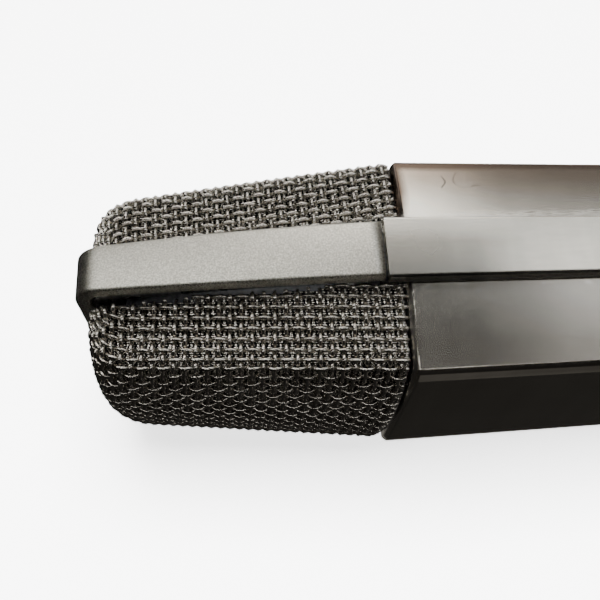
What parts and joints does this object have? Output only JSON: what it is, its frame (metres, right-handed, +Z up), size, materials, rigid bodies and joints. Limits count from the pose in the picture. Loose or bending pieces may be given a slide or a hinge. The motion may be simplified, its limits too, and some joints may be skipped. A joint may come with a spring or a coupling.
{
  "type": "ribbon microphone",
  "caption": "Side-address ribbon microphone with a woven wire head, a metal band round it, and a faceted metal body with a recessed connector.",
  "frame": {"origin": "middle of the bounding box, on the surface the microphone lies on", "axes": "+X runs along the microphone from the nose of the head to the connector; +Z is up as it lies on its side, resting on one rail and the edge of the facet beside it; -Y is the side from which the upper rail is seen"},
  "size_m": [0.1408, 0.0446, 0.0455],
  "materials": {
    "body_metal": "satin nickel-grey metal, worn bright at edges, fine scratches",
    "band_metal": "fine-grained satin metallic grey",
    "woven_wire": "dark nickel-plated wire, plain weave",
    "fine_wire": "fine dark wire gauze",
    "steel": "plain bright steel",
    "iron": "dark soft iron",
    "magnet": "nickel-plated magnet",
    "ribbon_foil": "bright corrugated foil",
    "chassis_metal": "bead-blasted aluminium",
    "brass": "turned brass",
    "contact_metal": "gold-coloured plating",
    "insulator": "black moulded insulator",
    "slider_plastic": "black ribbed plastic",
    "rubber": "soft black rubber",
    "board": "green solder mask",
    "winding": "varnished copper winding under tape",
    "capacitor_sleeve": "black shrink sleeve",
    "film_plastic": "red dipped plastic"
  },
  "bodies": {
    "microphone": {"front_shell": "body_metal", "rear_shell": "body_metal", "left_rail": "body_metal", "right_rail": "body_metal", "bottom_cap": "body_metal", "head_band": "band_metal", "front_basket": "woven_wire", "rear_basket": "woven_wire", "front_fine_screen": "fine_wire", "rear_fine_screen": "fine_wire", "head_hoop": "steel", "head_base": "steel", "front_blast_plate": "steel", "rear_blast_plate": "steel", "motor_bracket": "steel", "bracket_screw_1": "steel", "bracket_screw_2": "steel", "left_rail_screw": "steel", "right_rail_screw": "steel", "transformer_strap": "steel", "board_screw_1": "steel", "board_screw_2": "steel", "tie_screw_1": "steel", "tie_screw_2": "steel", "connector_shell": "steel", "retaining_screw": "steel", "motor_yoke": "iron", "left_pole_piece": "iron", "right_pole_piece": "iron", "transformer_core": "iron", "left_magnet": "magnet", "right_magnet": "magnet", "ribbon_element": "ribbon_foil", "chassis_frame": "chassis_metal", "nose_clamp_bar": "brass", "base_clamp_bar": "brass", "nose_clamp_screw_1": "brass", "nose_clamp_screw_2": "brass", "base_clamp_screw_1": "brass", "base_clamp_screw_2": "brass", "contact_pin_1": "contact_metal", "contact_pin_2": "contact_metal", "contact_pin_3": "contact_metal", "nose_clamp_block": "insulator", "base_clamp_block": "insulator", "low_cut_switch_body": "insulator", "pad_switch_body": "insulator", "connector_insert": "insulator", "rubber_mount_1": "rubber", "rubber_mount_2": "rubber", "circuit_board": "board", "terminal_board": "board", "transformer_coil": "winding", "ribbon_lead_1": "winding", "ribbon_lead_2": "winding", "electrolytic_capacitor": "capacitor_sleeve", "film_capacitor": "film_plastic"},
    "low_cut_control": {"low_cut_slider": "slider_plastic"},
    "pad_control": {"pad_slider": "slider_plastic"}
  },
  "joints": [
    {"name": "low_cut_slide", "type": "slide", "parent": "microphone", "child": "low_cut_control", "axis": [0.9995, 0, -0.0311], "range_m": [-0.002, 0.002]},
    {"name": "pad_slide", "type": "slide", "parent": "microphone", "child": "pad_control", "axis": [0.9995, 0, -0.0311], "range_m": [-0.002, 0.002]}
  ]
}
